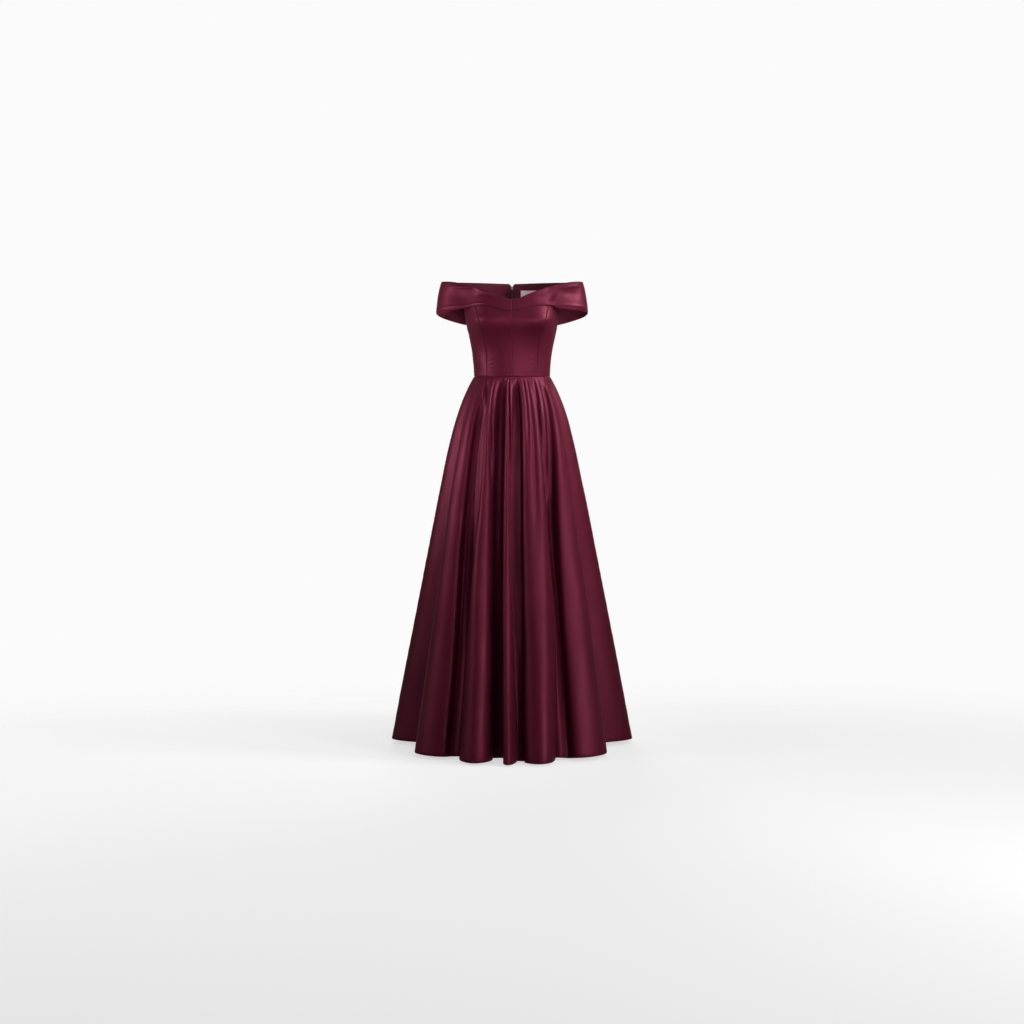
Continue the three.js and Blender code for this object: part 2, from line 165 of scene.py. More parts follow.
# The skirt's flare and folds
HIP_RELEASE = 39
HIP_RELEASE_OVER = 85
FOLD_DEPTH_AT_WAIST = 9
FOLD_DEPTH_AT_HEM = 74
PLEAT_DEPTH = 2
PLEAT_LENGTH = 400
GATHER_RELEASE = 26
THIGH_DROP = 0.34
KNEE_DROP = 0.73


def fold(waist, thigh, knee, hem, depth, pinch, pleat):
    """A valley's angles down its length, its depth, how tight it is, and the pleat after it."""
    path = Curve((0, waist), (THIGH_DROP, thigh), (KNEE_DROP, knee), (1, hem))
    return {"path": path, "depth": depth, "pinch": pinch, "pleat": pleat}


# The valleys in turn, from the wearer's right by the front and the left to the back
FOLDS = [
    fold(-74, -70, -68, -66, depth=1.3, pinch=0.05, pleat=1),
    fold(-45, -38.6, -30.5, -28.5, depth=0.9, pinch=0.7, pleat=1),
    fold(-16, -13, -9.2, -7.3, depth=1.3, pinch=0.55, pleat=1.2),
    fold(9, 3.5, 2.6, 3, depth=0.8, pinch=0.6, pleat=1),
    fold(36, 35, 28.7, 23.5, depth=0.9, pinch=0.65, pleat=1.1),
    fold(70, 68, 67, 66, depth=1.25, pinch=0.05, pleat=0.6),
    fold(103, 105, 106, 107, depth=1, pinch=0.35, pleat=1),
    fold(124, 126, 127, 128, depth=0.8, pinch=0.6, pleat=1),
    fold(145, 147, 148, 149, depth=1, pinch=0.5, pleat=1.1),
    fold(164, 166, 167, 168, depth=0.75, pinch=0.6, pleat=0),
    fold(196, 194, 193, 192, depth=0.85, pinch=0.6, pleat=1),
    fold(216, 213, 212, 211, depth=1, pinch=0.45, pleat=1.1),
    fold(237, 235, 233, 231, depth=0.85, pinch=0.6, pleat=1),
    fold(257, 256, 255, 254, depth=1, pinch=0.3, pleat=0.6),
]


# Surfaces, as points in millimetres

def section_radius(angle, side, depth, square):
    across = abs(sine(angle) / side) ** square
    along = abs(cosine(angle) / depth) ** square
    return (across + along) ** (-1 / square)


def on_axis(angle, radius, z):
    return Vector((radius * sine(angle), -radius * cosine(angle), z))


def turned(angle):
    """The angle from the centre front, by either side, also just beyond the centre back."""
    return 180 - abs(180 - abs(angle))


def bodice_radius(angle, z):
    depth = BODY_FRONT(z) if cosine(angle) > 0 else BODY_BACK(z)
    bust = bell((abs(angle) - BUST_ANGLE) / BUST_SPREAD) * bell((z - BUST_HEIGHT) / BUST_RISE)
    return section_radius(angle, BODY_SIDE(z), depth, BODY_SQUARE(z)) + BUST_FULLNESS * bust


def bodice_point(angle, z):
    return on_axis(angle, bodice_radius(angle, z), z)


def band_point(angle, share):
    z = blend(BAND_LOW(turned(angle)), BAND_HIGH(turned(angle)), share)
    lying = bodice_radius(angle, z) + LAYER_GAP + BAND_THICKNESS
    climb = (z - ARM_LOW_HEIGHT) / (ARM_HIGH_HEIGHT - ARM_LOW_HEIGHT)
    reach = blend(ARM_REACH_LOW, ARM_REACH_HIGH, climb)
    reach -= bodice_radius(90, z) + LAYER_GAP + BAND_THICKNESS
    loop = cosine(90 * bounded((turned(angle) - 90) / ARM_LOOP_HALF_ANGLE, -1, 1)) ** 2
    crown = BAND_CROWN * loop * sine(180 * share)
    return on_axis(angle, lying + reach * loop + crown, z)


def flare_share(drop):
    straight = HEM_HALF_WIDTH - WAIST_HALF_WIDTH - HIP_RELEASE
    hips = HIP_RELEASE * (1 - math.exp(-drop / HIP_RELEASE_OVER))
    return (hips + straight * drop / SKIRT_LENGTH) / (HEM_HALF_WIDTH - WAIST_HALF_WIDTH)


def fold_of(index):
    return FOLDS[index % len(FOLDS)]


def valley_angle(index, drop):
    return 360 * (index // len(FOLDS)) + fold_of(index)["path"](drop / SKIRT_LENGTH)


def nearest_fold(place):
    return fold_of(math.floor(place + 0.5))


def angle_at(place, drop):
    """The angle of a place that counts folds: whole numbers are valleys, halves are crests."""
    index = math.floor(place)
    phase = place - index
    tightening = math.sqrt(max(drop, 0) / SKIRT_LENGTH)
    bunch = nearest_fold(place)["pinch"] * tightening * sine(360 * phase) / (2 * math.pi)
    return blend(valley_angle(index, drop), valley_angle(index + 1, drop), phase - bunch)


def skirt_point(place, drop):
    share = drop / SKIRT_LENGTH
    flare = flare_share(drop)
    index = math.floor(place)
    phase = place - index
    angle = angle_at(place, drop)
    if cosine(angle) > 0:
        depth = blend(WAIST_FRONT_DEPTH, HEM_FRONT_DEPTH, flare)
    else:
        depth = blend(WAIST_BACK_DEPTH, HEM_BACK_DEPTH, flare)
    crest = section_radius(angle, blend(WAIST_HALF_WIDTH, HEM_HALF_WIDTH, flare), depth, 2)
    released = 1 - math.exp(-drop / GATHER_RELEASE)
    fullness = blend(FOLD_DEPTH_AT_WAIST, FOLD_DEPTH_AT_HEM, share)
    valley = nearest_fold(place)["depth"] * fullness * (1 + cosine(360 * phase)) / 2
    fade = 1 - smooth(drop, 0, PLEAT_LENGTH)
    parted = (1 + cosine(720 * phase)) / 2 if abs(phase - 0.5) < 0.25 else 0
    pleat = fold_of(index)["pleat"] * PLEAT_DEPTH * fade * parted
    dip = 1 + FRONT_DIP / SKIRT_LENGTH * max(cosine(angle), 0) ** 4
    return on_axis(angle, crest - released * (valley + pleat), -drop * dip)


# Creases and unevenness

def crease(height, width, *path):
    """A soft ridge, or a trough where the height is negative, through (row, place) pairs."""
    start, end = path[0][0], path[-1][0]
    return {"height": height, "width": width, "path": Curve(*path), "start": start, "end": end}


def crease_share(line, row, fade_in, fade_out):
    """How much of a crease there is in a row, between its soft ends."""
    risen = smooth(row, line["start"], line["start"] + fade_in)
    return risen * (1 - smooth(row, line["end"] - fade_out, line["end"]))


def unevenness(x, y, seed):
    """Soft random waves from -1 to 1, the same on every run."""
    return noise.noise(Vector((x, y, seed)))


def round_unevenness(place, waves, height):
    """The same round the skirt, with so many waves to a fold, which meet at the last seam."""
    turn = 2 * math.pi * place / len(FOLDS)
    radius = waves * len(FOLDS) / (2 * math.pi)
    return unevenness(radius * math.cos(turn), radius * math.sin(turn), height)


# Cloth shells

SEAM_STEPS = (0, 0.4, 0.9, 1.7, 3.2)
SEAM_SINK = 1.6
SEAM_REACH = 1.0
WAIST_SINK = -0.8
PUCKER_HEIGHT = 0.3
PUCKER_LENGTH = 13
PUCKER_REACH = 9
PUCKER_SWAY = 1.7
PUCKER_SWAY_LENGTH = 31
PROBE_SHARE = 1e-3


def waist_turn(distance):
    """Both sides of the waist seam turn in a little."""
    return WAIST_SINK * bell(distance / SEAM_REACH)


def seam_relief(distance, along):
    """A sewn edge turns in, and puckers a little beside the stitches."""
    sway = PUCKER_SWAY * math.sin(along / PUCKER_SWAY_LENGTH)
    wave = math.sin(2 * math.pi * along / PUCKER_LENGTH + sway)
    sunk = bell(distance / SEAM_REACH)
    beside = bell(distance / PUCKER_REACH) - sunk
    return PUCKER_HEIGHT * wave * beside - SEAM_SINK * sunk


def row_places(surface, start, end, row, columns):
    """A row's points, closer together beside its sewn ends, and how far each is from one."""
    step = PROBE_SHARE * (end - start)
    start_scale = (surface(start + step, row) - surface(start, row)).length / step
    end_scale = (surface(end, row) - surface(end - step, row)).length / step
    from_start = [distance / start_scale for distance in SEAM_STEPS]
    from_end = [distance / end_scale for distance in SEAM_STEPS]
    low = start + from_start[-1]
    high = end - from_end[-1]
    inside = [blend(low, high, index / columns) for index in range(1, columns)]
    places = [start + offset for offset in from_start] + inside
    places += [end - offset for offset in reversed(from_end)]
    distances = [min((place - start) * start_scale, (end - place) * end_scale) for place in places]
    return places, distances


def surface_normals(grid):
    """The outward direction at the points of a grid of columns, apart from its first and last."""
    rows = len(grid[0])
    normals = []
    for left, column, right in zip(grid, grid[1:], grid[2:]):
        line = []
        for row in range(rows):
            up = column[min(row + 1, rows - 1)] - column[max(row - 1, 0)]
            line.append((right[row] - left[row]).cross(up).normalized())
        normals.append(line)
    return normals


def shell(name, surface, span, rows, columns, thickness, relief, mirrored=False):
    """A thin cloth wall over a surface, with rounded edges, its outside in the first material and
    its inside in the second. span(row) gives the first and last place of a row, and
    relief(place, row, along) how far the cloth stands out of the surface."""
    lines, points = [], []
    for row in rows:
        start, end = span(row)
        places, distances = row_places(surface, start, end, row, columns)
        lines.append(list(zip(places, distances)))
        beyond = [2 * places[0] - places[1], *places, 2 * places[-1] - places[-2]]
        points.append([surface(place, row) for place in beyond])
    grid = list(zip(*points))
    normals = surface_normals(grid)
    outer, inner = [], []
    for column, column_points in enumerate(grid[1:-1]):
        along = 0
        outer_line, inner_line = [], []
        for index, row in enumerate(rows):
            point = column_points[index]
            if index:
                along += (point - column_points[index - 1]).length
            place, distance = lines[index][column]
            offset = relief(place, row, along) + seam_relief(distance, along)
            outer_line.append(point + normals[column][index] * offset)
            inner_line.append(point + normals[column][index] * (offset - thickness))
        outer.append(outer_line)
        inner.append(inner_line)
    return cloth_object(name, outer, inner, thickness, mirrored)


def rim_points(outer, inner, inward, thickness):
    """A row of points that rounds the edge between the two faces."""
    points = []
    for a, b, c in zip(outer, inner, inward):
        middle = (a + b) / 2
        points.append(middle + (middle - c).normalized() * thickness / 2)
    return points


def cloth_object(name, outer, inner, thickness, mirrored):
    """The wall between its outer and inner columns, with rounded first and last rows."""
    columns, rows = len(outer), len(outer[0])
    vertices, faces, kinds, soft = [], [], [], []

    def add(points):
        first = len(vertices)
        vertices.extend(points)
        return list(range(first, len(vertices)))

    def strip(first, second, kind, rounded=True):
        for index in range(len(first) - 1):
            faces.append((first[index], first[index + 1], second[index + 1], second[index]))
            kinds.append(kind)
            soft.append(rounded)

    out = [add(line) for line in outer]
    back = [add(line) for line in inner]
    for column in range(columns - 1):
        strip(out[column + 1], out[column], 0)
        strip(back[column], back[column + 1], 1)
    for row, beside in ((0, 1), (rows - 1, rows - 2)):
        inward = [(outer[column][beside] + inner[column][beside]) / 2 for column in range(columns)]
        outer_edge, inner_edge = [line[row] for line in outer], [line[row] for line in inner]
        rim = add(rim_points(outer_edge, inner_edge, inward, thickness))
        edge, hidden = [line[row] for line in out], [line[row] for line in back]
        if row:
            edge, hidden = hidden, edge
        strip(hidden, rim, 0)
        strip(rim, edge, 0)
    strip(out[0], back[0], 0, rounded=False)
    strip(back[-1], out[-1], 0, rounded=False)
    side = -1 if mirrored else 1
    mesh = bpy.data.meshes.new(name)
    mesh.from_pydata([(side * x * MM, y * MM, z * MM) for x, y, z in vertices], [], faces)
    mesh.polygons.foreach_set("material_index", kinds)
    mesh.polygons.foreach_set("use_smooth", soft)
    if mirrored:
        mesh.flip_normals()
    mesh.update()
    obj = bpy.data.objects.new(name, mesh)
    bpy.context.collection.objects.link(obj)
    return obj


def steps(start, end, count):
    return [blend(start, end, index / count) for index in range(count + 1)]


# Materials

SATIN_COLOUR = (0.070, 0.0044, 0.0142)
SATIN_DEEPER = (0.058, 0.0034, 0.0116)
LINING_COLOUR = (0.100, 0.0118, 0.0242)
LINING_DEEPER = (0.080, 0.0092, 0.0190)
SHEEN_COLOUR = (1, 0.42, 0.56, 1)
GLOSS_COLOUR = (1, 0.36, 0.50, 1)
TAPE_COLOUR = (0.048, 0.0056, 0.0114)
TAPE_DEEPER = (0.037, 0.0043, 0.0088)
METAL_COLOUR = (0.34, 0.31, 0.32)
METAL_DEEPER = (0.24, 0.22, 0.23)
LABEL_COLOUR = (0.86, 0.62, 0.68)
LABEL_DEEPER = (0.76, 0.54, 0.60)
THREAD_COLOUR = (0.060, 0.008, 0.016)
THREAD_DEEPER = (0.044, 0.006, 0.012)
COIL_COLOUR = (0.052, 0.007, 0.014)
COIL_DEEPER = (0.036, 0.005, 0.010)
TONE_FROM = 0.35
TONE_TO = 0.65

# How fine each material's patches and threads are, along x, y and z
SATIN_PATCHES = (7, 7, 5)
SATIN_GLOSS = (24, 24, 9)
SATIN_SLUB = (110, 110, 30)
SATIN_WEAVE = (2600, 2600, 420)
LINING_PATCHES = (12, 12, 9)
LINING_WEAVE = (1500, 1500, 1500)
RIBBON_PATCHES = (60, 60, 900)
TAPE_RIBS = (900, 900, 1800)
LABEL_RIBS = (500, 500, 3200)
METAL_PATCHES = (400, 400, 120)
METAL_GLOSS = (900, 900, 260)
METAL_SCRATCHES = (5000, 5000, 500)
THREAD_PATCHES = (300, 300, 300)
THREAD_TWIST = (2400, 2400, 2400)


def new_material(name):
    """An empty material with its nodes, its links and its shader."""
    material = bpy.data.materials.new(name)
    material.use_nodes = True
    nodes = material.node_tree.nodes
    return material, nodes, material.node_tree.links, nodes["Principled BSDF"]


def stretched_noise(nodes, links, scale, detail=2):
    """Noise on the object's own coordinates, stretched by its three scales."""
    coordinates = nodes.new("ShaderNodeTexCoord")
    mapping = nodes.new("ShaderNodeMapping")
    mapping.inputs["Scale"].default_value = scale
    texture = nodes.new("ShaderNodeTexNoise")
    texture.inputs["Scale"].default_value = 1
    texture.inputs["Detail"].default_value = detail
    links.new(coordinates.outputs["Object"], mapping.inputs["Vector"])
    links.new(mapping.outputs["Vector"], texture.inputs["Vector"])
    return texture


def two_tone(nodes, links, shader, light, deep, scale):
    """A base colour that goes softly from one tone to the other in patches."""
    texture = stretched_noise(nodes, links, scale)
    ramp = nodes.new("ShaderNodeValToRGB")
    ramp.color_ramp.elements[0].position = TONE_FROM
    ramp.color_ramp.elements[1].position = TONE_TO
    ramp.color_ramp.elements[0].color = (*deep, 1)
    ramp.color_ramp.elements[1].color = (*light, 1)
    links.new(texture.outputs["Fac"], ramp.inputs["Fac"])
    links.new(ramp.outputs["Color"], shader.inputs["Base Color"])


def uneven_gloss(nodes, links, shader, low, high, scale):
    """A roughness that varies between two values in patches."""
    texture = stretched_noise(nodes, links, scale)
    spread = nodes.new("ShaderNodeMapRange")
    spread.inputs["From Min"].default_value = 0.3
    spread.inputs["From Max"].default_value = 0.7
    spread.inputs["To Min"].default_value = low
    spread.inputs["To Max"].default_value = high
    links.new(texture.outputs["Fac"], spread.inputs["Value"])
    links.new(spread.outputs["Result"], shader.inputs["Roughness"])


def bumps(nodes, links, shader, *layers):
    """Layers of (texture, strength, height in metres), each laid on the one before."""
    below = None
    for texture, strength, height in layers:
        bump = nodes.new("ShaderNodeBump")
        bump.inputs["Strength"].default_value = strength
        bump.inputs["Distance"].default_value = height
        links.new(texture.outputs["Fac"], bump.inputs["Height"])
        if below:
            links.new(below.outputs["Normal"], bump.inputs["Normal"])
        below = bump
    links.new(below.outputs["Normal"], shader.inputs["Normal"])


def satin_material():
    """Satin: long smooth threads outside, so the gloss runs softly and the weave is very fine."""
    material, nodes, links, shader = new_material("burgundy_satin")
    two_tone(nodes, links, shader, SATIN_COLOUR, SATIN_DEEPER, SATIN_PATCHES)
    uneven_gloss(nodes, links, shader, 0.46, 0.54, SATIN_GLOSS)
    shader.inputs["Metallic"].default_value = 0.35
    shader.inputs["Specular IOR Level"].default_value = 0.32
    shader.inputs["Specular Tint"].default_value = GLOSS_COLOUR
    shader.inputs["Sheen Weight"].default_value = 0.03
    shader.inputs["Sheen Roughness"].default_value = 0.4
    shader.inputs["Sheen Tint"].default_value = SHEEN_COLOUR
    weave = stretched_noise(nodes, links, SATIN_WEAVE)
    slub = stretched_noise(nodes, links, SATIN_SLUB, detail=3)
    bumps(nodes, links, shader, (slub, 0.22, 0.0006), (weave, 0.22, 0.00005))
    return material


def lining_material():
    """The satin's matte back, in finished seams and folds seen from inside."""
    material, nodes, links, shader = new_material("satin_back")
    two_tone(nodes, links, shader, LINING_COLOUR, LINING_DEEPER, LINING_PATCHES)
    shader.inputs["Roughness"].default_value = 0.8
    shader.inputs["Specular IOR Level"].default_value = 0.1
    weave = stretched_noise(nodes, links, LINING_WEAVE)
    bumps(nodes, links, shader, (weave, 0.4, 0.0001))
    return material


def tape_material():
    material, nodes, links, shader = new_material("zip_tape_weave")
    two_tone(nodes, links, shader, TAPE_COLOUR, TAPE_DEEPER, RIBBON_PATCHES)
    shader.inputs["Roughness"].default_value = 0.85
    shader.inputs["Specular IOR Level"].default_value = 0.2
    ribs = stretched_noise(nodes, links, TAPE_RIBS)
    bumps(nodes, links, shader, (ribs, 0.6, 0.0002))
    return material


def metal_material():
    material, nodes, links, shader = new_material("zip_grey_metal")
    two_tone(nodes, links, shader, METAL_COLOUR, METAL_DEEPER, METAL_PATCHES)
    uneven_gloss(nodes, links, shader, 0.26, 0.44, METAL_GLOSS)
    shader.inputs["Metallic"].default_value = 0.9
    scratches = stretched_noise(nodes, links, METAL_SCRATCHES)
    bumps(nodes, links, shader, (scratches, 0.15, 0.00005))
    return material


def label_material():
    material, nodes, links, shader = new_material("label_ribbon")
    two_tone(nodes, links, shader, LABEL_COLOUR, LABEL_DEEPER, RIBBON_PATCHES)
    shader.inputs["Roughness"].default_value = 0.6
    shader.inputs["Sheen Weight"].default_value = 0.1
    ribs = stretched_noise(nodes, links, LABEL_RIBS)
    bumps(nodes, links, shader, (ribs, 0.5, 0.00015))
    return material


def thread_material(name, light, deep):
    material, nodes, links, shader = new_material(name)
    two_tone(nodes, links, shader, light, deep, THREAD_PATCHES)
    shader.inputs["Roughness"].default_value = 0.5
    twist = stretched_noise(nodes, links, THREAD_TWIST)
    bumps(nodes, links, shader, (twist, 0.4, 0.0001))
    return material


satin = satin_material()
lining = lining_material()
zip_weave = tape_material()
zip_metal = metal_material()
ribbon = label_material()
thread = thread_material("label_thread", THREAD_COLOUR, THREAD_DEEPER)
coil = thread_material("zip_coil", COIL_COLOUR, COIL_DEEPER)


def dress(obj, body="gown", materials=(satin, lining)):
    """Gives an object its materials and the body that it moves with."""
    for material in materials:
        obj.data.materials.append(material)
    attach(obj, body)
    return obj


def repaint(node, material):
    """A small solid keeps its shape and takes a better material."""
    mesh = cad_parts[node].data
    mesh.materials.clear()
    mesh.materials.append(material)


# Bodice

BODICE_THICKNESS = 1.3
BODICE_ROWS = 92
BODICE_COLUMNS = 40
BRIDGE_HEIGHT = 5
BRIDGE_SPREAD = 20
BRIDGE_LEVEL = 168
BRIDGE_RISE = 22
BUST_LINE_HEIGHT = 1.6
BUST_LINE_LEVEL = 176
BUST_LINE_WIDTH = 11
BUST_LINE_END_COSINE = 0.45
BUST_LINE_FULL_COSINE = 0.8
BODICE_WAVE = 0.7
BODICE_WAVE_ANGLE = 16
BODICE_WAVE_LENGTH = 34
BODICE_WAVE_SEED = 3
PULL_FADE_IN = 4
PULL_FADE_OUT = 5
PULL_SPREAD = 1.6

# Small pulls beside the front princess seams by (angle, height), the same on both sides
BODICE_CREASES = [
    crease(1.5, 1.5, (30, 22), (34, 19), (38, 21), (44, 25)),
    crease(1.4, 1.5, (31, 33), (36, 30), (41, 31), (46, 36)),
    crease(1.2, 1.6, (33, 45), (38, 42), (44, 44)),
    crease(1.0, 1.8, (30, 62), (36, 57), (43, 58)),
]


def pulls(angle, z):
    """The pulls run across, so their places are heights and their rows are angles."""
    height = 0
    for line in BODICE_CREASES:
        share = crease_share(line, abs(angle), PULL_FADE_IN, PULL_FADE_OUT)
        if share:
            off = (z - line["path"](abs(angle))) / line["width"] / PULL_SPREAD
            height += line["height"] * share * bell(off)
    return height


def bodice_relief(angle, z):
    """The cloth bridges the hollow between the cups, turns over the bust and pulls at the waist."""
    bridge = BRIDGE_HEIGHT * bell(angle / BRIDGE_SPREAD) * bell((z - BRIDGE_LEVEL) / BRIDGE_RISE)
    front = smooth(cosine(angle), BUST_LINE_END_COSINE, BUST_LINE_FULL_COSINE)
    bust_line = BUST_LINE_HEIGHT * front * bell((z - BUST_LINE_LEVEL) / BUST_LINE_WIDTH)
    wave = unevenness(angle / BODICE_WAVE_ANGLE, z / BODICE_WAVE_LENGTH, BODICE_WAVE_SEED)
    return bridge + bust_line + pulls(angle, z) + BODICE_WAVE * wave


def bodice_panel(piece, first, last, side, mirrored):
    """A panel between two seams, which give their angle by the share of the height."""
    sign = -1 if mirrored else 1

    def surface(angle, share):
        return bodice_point(angle, share * BODY_TOP(turned(angle)))

    def span(share):
        return first(share), last(share)

    def relief(angle, share, along):
        z = share * BODY_TOP(angle)
        return bodice_relief(sign * angle, z) + waist_turn(z)

    edge = [distance / BODY_TOP(first(0)) for distance in SEAM_STEPS]
    rows = edge[:-1] + steps(edge[-1], 1, BODICE_ROWS)
    obj = shell(
        f"{piece}_{side}_cloth", surface, span, rows, BODICE_COLUMNS, BODICE_THICKNESS,
        relief, mirrored=mirrored,
    )
    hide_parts(f"{piece}_{side}")
    dress(obj)


def bodice():
    def centre_front(share):
        return 0

    def side_seam(share):
        return 90

    def centre_back(share):
        return 180

    for side, mirrored in (("left", False), ("right", True)):
        bodice_panel("bodice_centre_front", centre_front, FRONT_PRINCESS, side, mirrored)
        bodice_panel("bodice_side_front", FRONT_PRINCESS, side_seam, side, mirrored)
        bodice_panel("bodice_side_back", side_seam, BACK_PRINCESS, side, mirrored)
        bodice_panel("bodice_centre_back", BACK_PRINCESS, centre_back, side, mirrored)


# Band

BAND_ROWS = 44
BAND_COLUMNS = 300
BAND_EDGE_TURN = 1
BAND_EDGE_REACH = 0.03
BAND_CLOTH_THICKNESS = 2
BAND_CREASE_FADE = 7
BAND_WAVE = 1
BAND_WAVE_ANGLE = 13
BAND_WAVE_COUNT = 2.2
BAND_WAVE_SEEDS = {"left": 8, "right": 11}

# On the wearer's right the band's lower edge stands out over the bust, up to these angles
FRONT_TILT = 3.2
FRONT_TILT_FROM = 40
FRONT_TILT_TO = 58


def dent(depth, angle, share, angle_spread, share_spread):
    """A soft hollow in the band, or a swelling where the depth is negative."""
    return {"depth": depth, "angle": angle, "share": share, "spread": (angle_spread, share_spread)}


# Folds of the band by (angle, share of its height), on the wearer's right and left
BAND_FOLDS = {
    "right": [
        crease(2.6, 0.07, (44, 0.97), (52, 0.95), (58, 0.91), (66, 0.86), (76, 0.80)),
        crease(1.4, 0.06, (8, 0.9), (22, 0.9), (36, 0.9), (52, 0.9)),
        crease(1.4, 0.06, (20, 0.1), (40, 0.1), (56, 0.12), (84, 0.1)),
        crease(1.6, 0.10, (98, 0.8), (112, 0.7), (126, 0.62), (146, 0.6)),
        crease(-1.8, 0.10, (100, 0.6), (114, 0.5), (128, 0.42), (150, 0.4)),
    ],
    "left": [
        crease(3.2, 0.09, (48, 0.26), (54, 0.36), (58, 0.52), (62, 0.68)),
        crease(2.8, 0.07, (58, 0.80), (66, 0.85), (74, 0.87), (82, 0.86)),
        crease(2.0, 0.05, (30, 0.03), (44, 0.03), (54, 0.09), (62, 0.16), (72, 0.16), (86, 0.1)),
        crease(1.2, 0.06, (34, 0.62), (42, 0.68), (50, 0.74), (58, 0.8)),
        crease(1.8, 0.10, (96, 0.74), (110, 0.66), (124, 0.62), (142, 0.64)),
        crease(-1.8, 0.10, (98, 0.5), (112, 0.44), (126, 0.4), (144, 0.42)),
    ],
}
BAND_DENTS = {
    "right": [dent(5, 65, 0.52, 9, 0.3), dent(1.2, 40, 0.68, 5, 0.1), dent(3.5, 116, 0.45, 11, 0.3)],
    "left": [dent(5, 70, 0.6, 6.5, 0.15), dent(1.5, 36, 0.25, 12, 0.25), dent(3, 112, 0.3, 9, 0.25)],
}


def band_relief(side, angle, share):
    height = -BAND_EDGE_TURN * (bell(share / BAND_EDGE_REACH) + bell((1 - share) / BAND_EDGE_REACH))
    for line in BAND_FOLDS[side]:
        present = crease_share(line, angle, BAND_CREASE_FADE, BAND_CREASE_FADE)
        if present:
            height += line["height"] * present * bell((share - line["path"](angle)) / line["width"])
    for hollow in BAND_DENTS[side]:
        across = (angle - hollow["angle"]) / hollow["spread"][0]
        up = (share - hollow["share"]) / hollow["spread"][1]
        height -= hollow["depth"] * bell(math.hypot(across, up))
    if side == "right":
        height += FRONT_TILT * (1 - share) * (1 - smooth(angle, FRONT_TILT_FROM, FRONT_TILT_TO))
    wave = unevenness(angle / BAND_WAVE_ANGLE, share * BAND_WAVE_COUNT, BAND_WAVE_SEEDS[side])
    return height + BAND_WAVE * wave


def band(side, mirrored):
    def span(share):
        return 0, 180

    def relief(angle, share, along):
        return band_relief(side, angle, share)

    obj = shell(
        f"band_{side}_cloth", band_point, span, steps(0, 1, BAND_ROWS), BAND_COLUMNS,
        BAND_CLOTH_THICKNESS, relief, mirrored=mirrored,
    )
    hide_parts(f"band_{side}")
    dress(obj)


# Skirt

SKIRT_THICKNESS = 1.2
SKIRT_ROWS = 150
SKIRT_ROWS_CROWDING = 1.5
SKIRT_COLUMNS_PER_FOLD = 56
WAVE_FREE_DROP = 160
WAVE_HEIGHT = 1.5
WAVE_LENGTH = 210
WAVES_PER_FOLD = 3
SMALL_WAVE_HEIGHT = 0.5
SMALL_WAVE_LENGTH = 70
SMALL_WAVES_PER_FOLD = 6.5
SMALL_WAVE_START = 50
HEM_TURN = 24
HEM_RIDGE = 0.4
HEM_RIDGE_WIDTH = 1.6
CREASE_FADE_IN = 26
LATE_FADE_IN = 2
CREASE_FADE_OUT = 0.55
CREASE_REACH = 3
ZIP_CLEAR_DROP = 215
ZIP_FREE_DROP = 380
ZIP_CLEAR_PLACES = 0.35

# By the drop, how much deeper the troughs and wider the creases are than each one states
TROUGH_DEPTH = Curve((0, 0.6), (150, 0.9), (500, 1.5), (SKIRT_LENGTH, 1.9))
CREASE_WIDTH = Curve((0, 0.8), (150, 1), (SKIRT_LENGTH, 1.7))

# The seams' places, which count the folds, and how the front's creases come again on the back
FRONT_RIGHT_SEAM = 1
FRONT_LEFT_SEAM = 4
BACK_START = 5.5
BACK_LEFT_SEAM = 8
CENTRE_BACK = 9.5
BACK_RIGHT_SEAM = 11
BACK_END = 13.5
FRONT_REPEAT = 5
BACK_MIRROR = 14

